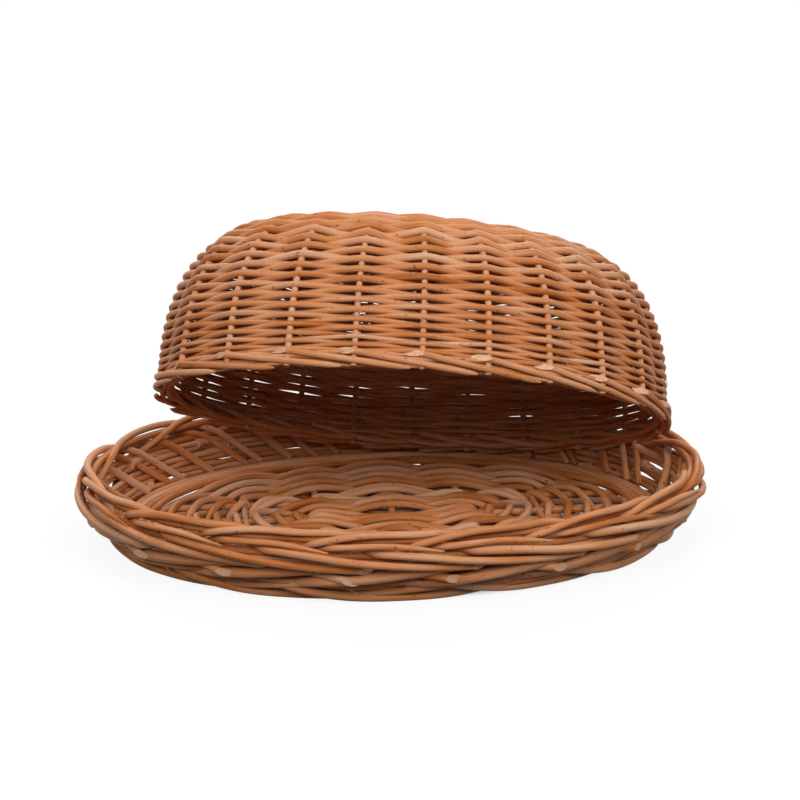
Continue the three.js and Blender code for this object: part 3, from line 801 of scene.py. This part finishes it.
def build_tray_base(willow):
    bundle = Bundle()
    edge_a, edge_b = LID_HALF_LENGTH + BASE_EDGE, LID_HALF_WIDTH + BASE_EDGE
    for number in range(BASE_SEAT_ROWS):
        depth = (number + BASE_SEAT_FIRST_ROW) * BASE_SEAT_PITCH
        add_oval_ring(bundle, edge_a - depth, edge_b - depth, BASE_SEAT_HEIGHT, BASE_ROW_RADIUS)
    seat = BASE_SEAT_ROWS * BASE_SEAT_PITCH - BASE_SEAT_OVERLAP
    depth = seat + BASE_UNDER_DEPTH
    add_oval_ring(bundle, edge_a - depth, edge_b - depth, BASE_UNDER_HEIGHT, BASE_ROW_RADIUS)
    rows = int((edge_b - seat - BASE_HOLE) / BASE_PITCH)
    for number in range(rows):
        depth = seat + (number + BASE_FIRST_ROW) * BASE_PITCH
        x, y, side = woven_oval(edge_a - depth, edge_b - depth, BASE_LONG_STICKS, BASE_SHORT_STICKS,
                                number, BASE_ROW_STEPS)
        run = np.linspace(0, 1, len(x))
        z = BASE_HEIGHT + side * (BASE_STICK_RADIUS + BASE_ROW_RADIUS) * BASE_ROW_SINK
        path = np.stack([x, y, z], axis=1)
        path[:, :2] *= (1 + wander(run, SLOW_WAVES, BASE_ROW_WOBBLE))[:, None]
        radius = BASE_ROW_RADIUS * rng.uniform(*BASE_ROW_SPREAD)
        bundle.add_rod(path, upward(len(x)), radius, pick_tone())
    bundle.piece("tray_base_rows", "tray", ["tray_base_weave"], "willow_weave", willow)

    def level(x, y):
        return np.full(len(x), BASE_HEIGHT)

    sticks = Bundle()
    add_sticks(sticks, BASE_LONG_STICKS, BASE_SHORT_STICKS, edge_a, edge_b, level,
               BASE_STICK_STEPS, BASE_STICK_RADIUS)
    nodes = numbered("tray_base_long_stick", len(BASE_LONG_STICKS))
    nodes += numbered("tray_base_short_stick", len(BASE_SHORT_STICKS))
    sticks.piece("tray_base_sticks", "tray", nodes, "willow_stick", willow)


def new_material(name):
    material = bpy.data.materials.new(name)
    material.use_nodes = True
    tree = material.node_tree
    return material, tree, tree.nodes["Principled BSDF"]


def node(tree, kind, **settings):
    """A shader node. A setting that starts with in_ is the value of the input of that name."""
    made = tree.nodes.new(kind)
    for name, value in settings.items():
        if name.startswith("in_"):
            made.inputs[name.removeprefix("in_").replace("_", " ")].default_value = value
        else:
            setattr(made, name, value)
    return made


def ramp(tree, value, stops):
    made = tree.nodes.new("ShaderNodeValToRGB")
    elements = made.color_ramp.elements
    while len(elements) < len(stops):
        elements.new(0.5)
    for element, (place, color) in zip(elements, stops):
        element.position = place
        element.color = (*color, 1)
    tree.links.new(value, made.inputs["Fac"])
    return made.outputs["Color"]


def map_range(tree, value, before=(0, 1), after=(0, 1)):
    """A value moved from one range into another."""
    made = node(tree, "ShaderNodeMapRange", in_From_Min=before[0], in_From_Max=before[1],
                in_To_Min=after[0], in_To_Max=after[1])
    tree.links.new(value, made.inputs["Value"])
    return made.outputs["Result"]


def weighted_sum(tree, value, weight, added):
    made = node(tree, "ShaderNodeMath", operation="MULTIPLY_ADD")
    made.inputs[1].default_value = weight
    tree.links.new(value, made.inputs[0])
    tree.links.new(added, made.inputs[2])
    return made.outputs["Value"]


def product(tree, first, second):
    made = node(tree, "ShaderNodeMath", operation="MULTIPLY")
    tree.links.new(first, made.inputs[0])
    tree.links.new(second, made.inputs[1])
    return made.outputs["Value"]


def scaled(tree, vector, scale):
    made = node(tree, "ShaderNodeMapping", in_Scale=scale)
    tree.links.new(vector, made.inputs["Vector"])
    return made.outputs["Vector"]


def distance(tree, vector):
    made = node(tree, "ShaderNodeVectorMath", operation="LENGTH")
    tree.links.new(vector, made.inputs[0])
    return made.outputs["Value"]


def grain_noise(tree, scale, detail, roughness):
    """Noise that follows each rod, in its own straightened coordinates."""
    grain = node(tree, "ShaderNodeAttribute", attribute_name="grain")
    made = node(tree, "ShaderNodeTexNoise", in_Scale=1, in_Detail=detail, in_Roughness=roughness)
    tree.links.new(scaled(tree, grain.outputs["Vector"], scale), made.inputs["Vector"])
    return made.outputs["Fac"]


def add_bump(tree, shader, height, strength):
    bump = node(tree, "ShaderNodeBump", in_Strength=strength, in_Distance=BUMP_DISTANCE)
    tree.links.new(height, bump.inputs["Height"])
    tree.links.new(bump.outputs["Normal"], shader.inputs["Normal"])


def willow_skin():
    """Willow, darker or paler by the rod's tone, with streaks, blotches and a few dark spots."""
    material, tree, shader = new_material("willow_skin")
    link = tree.links.new
    streaks = grain_noise(tree, STREAK_SCALE, detail=4, roughness=0.6)
    blotches = grain_noise(tree, BLOTCH_SCALE, detail=3, roughness=0.5)
    spots = grain_noise(tree, SPOT_SCALE, detail=1, roughness=0.4)
    tone = node(tree, "ShaderNodeAttribute", attribute_name="tone")
    mixed = weighted_sum(tree, tone.outputs["Fac"], TONE_WEIGHT, blotches)
    summed = weighted_sum(tree, streaks, STREAK_WEIGHT, mixed)
    skin = node(tree, "ShaderNodeMixRGB", in_Color2=SPOT_COLOR)
    link(map_range(tree, spots, SPOT_RANGE, (0, SPOT_STRENGTH)), skin.inputs["Fac"])
    link(ramp(tree, map_range(tree, summed, SHADE_RANGE), SKIN_COLORS), skin.inputs["Color1"])
    link(skin.outputs["Color"], shader.inputs["Base Color"])
    link(map_range(tree, blotches, after=SKIN_ROUGHNESS), shader.inputs["Roughness"])
    shader.inputs["Specular IOR Level"].default_value = SKIN_SPECULAR
    shader.inputs["Specular Tint"].default_value = SKIN_SPECULAR_TINT
    add_bump(tree, shader, streaks, SKIN_BUMP)
    return material


def cut_wood():
    material, tree, shader = new_material("cut_wood")
    speckle = grain_noise(tree, FIBRE_SCALE, detail=3, roughness=0.6)
    tree.links.new(ramp(tree, speckle, CUT_COLORS), shader.inputs["Base Color"])
    tree.links.new(map_range(tree, speckle, after=CUT_ROUGHNESS), shader.inputs["Roughness"])
    add_bump(tree, shader, speckle, CUT_BUMP)
    return material


def lid_place():
    """Where the lid stands: shut, then turned up about its joint."""
    tilt = frame["record"]["behaviour"]["joints"][0]
    pivot = Matrix.Translation(Vector(tilt["pos_m"]))
    turn = Matrix.Rotation(math.radians(-tilt["range_deg"][0]), 4, Vector(tilt["axis"]))
    return pivot @ turn @ pivot.inverted() @ Matrix.Translation(LID_SHUT)


def seen_or_mirrored(tree):
    """1 for rays from the camera, off a glossy surface or through a clear one."""
    path = tree.nodes.new("ShaderNodeLightPath")
    total = path.outputs["Is Camera Ray"]
    for name in ("Is Glossy Ray", "Is Transmission Ray"):
        adding = node(tree, "ShaderNodeMath", operation="ADD", use_clamp=True)
        tree.links.new(total, adding.inputs[0])
        tree.links.new(path.outputs[name], adding.inputs[1])
        total = adding.outputs["Value"]
    return total


def floor_paint():
    """White to the camera but for the shadow near the tray and under it, and dull to the light."""
    material, tree, shader = new_material("floor")
    link = tree.links.new
    seen = seen_or_mirrored(tree)
    place = tree.nodes.new("ShaderNodeTexCoord").outputs["Object"]
    near = map_range(tree, distance(tree, place), SHADOW_REACHES, SHADOW_GLOWS)
    oval = scaled(tree, place, (1 / FOOT_OVAL[0], 1 / FOOT_OVAL[1], 1))
    under = map_range(tree, distance(tree, oval), UNDER_REACHES, UNDER_GLOWS)
    shader.inputs["Roughness"].default_value = FLOOR_ROUGHNESS
    link(map_range(tree, seen, after=FLOOR_GREYS), shader.inputs["Base Color"])
    glow = tree.nodes.new("ShaderNodeEmission")
    mix = tree.nodes.new("ShaderNodeMixShader")
    link(product(tree, seen, product(tree, under, near)), mix.inputs["Fac"])
    link(shader.outputs["BSDF"], mix.inputs[1])
    link(glow.outputs["Emission"], mix.inputs[2])
    link(mix.outputs["Shader"], tree.nodes["Material Output"].inputs["Surface"])
    return material


def build_floor():
    half = FLOOR_SIZE / 2
    corners = [(-half, -half, 0), (half, -half, 0), (half, half, 0), (-half, half, 0)]
    mesh = bpy.data.meshes.new("floor")
    mesh.from_pydata(corners, [], [(0, 1, 2, 3)])
    mesh.materials.append(floor_paint())
    floor = bpy.data.objects.new("floor", mesh)
    bpy.context.scene.collection.objects.link(floor)


def build_world():
    world = bpy.data.worlds.new("studio")
    bpy.context.scene.world = world
    world.use_nodes = True
    tree = world.node_tree
    background = tree.nodes["Background"]
    background.inputs["Color"].default_value = (1, 1, 1, 1)
    level = map_range(tree, seen_or_mirrored(tree), after=WORLD_LEVELS)
    tree.links.new(level, background.inputs["Strength"])


def add_lamp(name, place, power):
    lamp = bpy.data.lights.new(name, "AREA")
    lamp.shape = "DISK"
    lamp.size = LAMP_SIZE
    lamp.energy = power
    thing = bpy.data.objects.new(name, lamp)
    thing.location = place
    thing.rotation_euler = (LAMP_TARGET - Vector(place)).to_track_quat("-Z", "Y").to_euler()
    bpy.context.scene.collection.objects.link(thing)


def build_lamps():
    for side in (-LAMP_SIDE, LAMP_SIDE):
        add_lamp("key", (side, -LAMP_DISTANCE, LAMP_HEIGHT), KEY_POWER)
        add_lamp("back", (side, LAMP_DISTANCE, LAMP_HEIGHT), BACK_POWER)
    add_lamp("top", TOP_LAMP_PLACE, TOP_LAMP_POWER)


def build_camera():
    scene = bpy.context.scene
    camera = bpy.data.cameras.new("camera")
    camera.lens = CAMERA_LENS
    camera.sensor_width = CAMERA_SENSOR
    thing = bpy.data.objects.new("camera", camera)
    thing.location = CAMERA_PLACE
    thing.rotation_euler = CAMERA_FORWARD.to_track_quat("-Z", "Y").to_euler()
    scene.collection.objects.link(thing)
    scene.camera = thing
    scene.view_settings.view_transform = "Standard"


willow = [willow_skin(), cut_wood()]
standing = lid_place()
build_lid_stakes(standing, willow)
build_lid_side(standing, willow)
build_crown(standing, willow)
build_lid_rim(standing, willow)
build_tray_border(willow)
build_tray_wall(willow)
build_tray_butts(willow)
build_tray_foot(willow)
build_tray_base(willow)
build_floor()
build_world()
build_lamps()
build_camera()
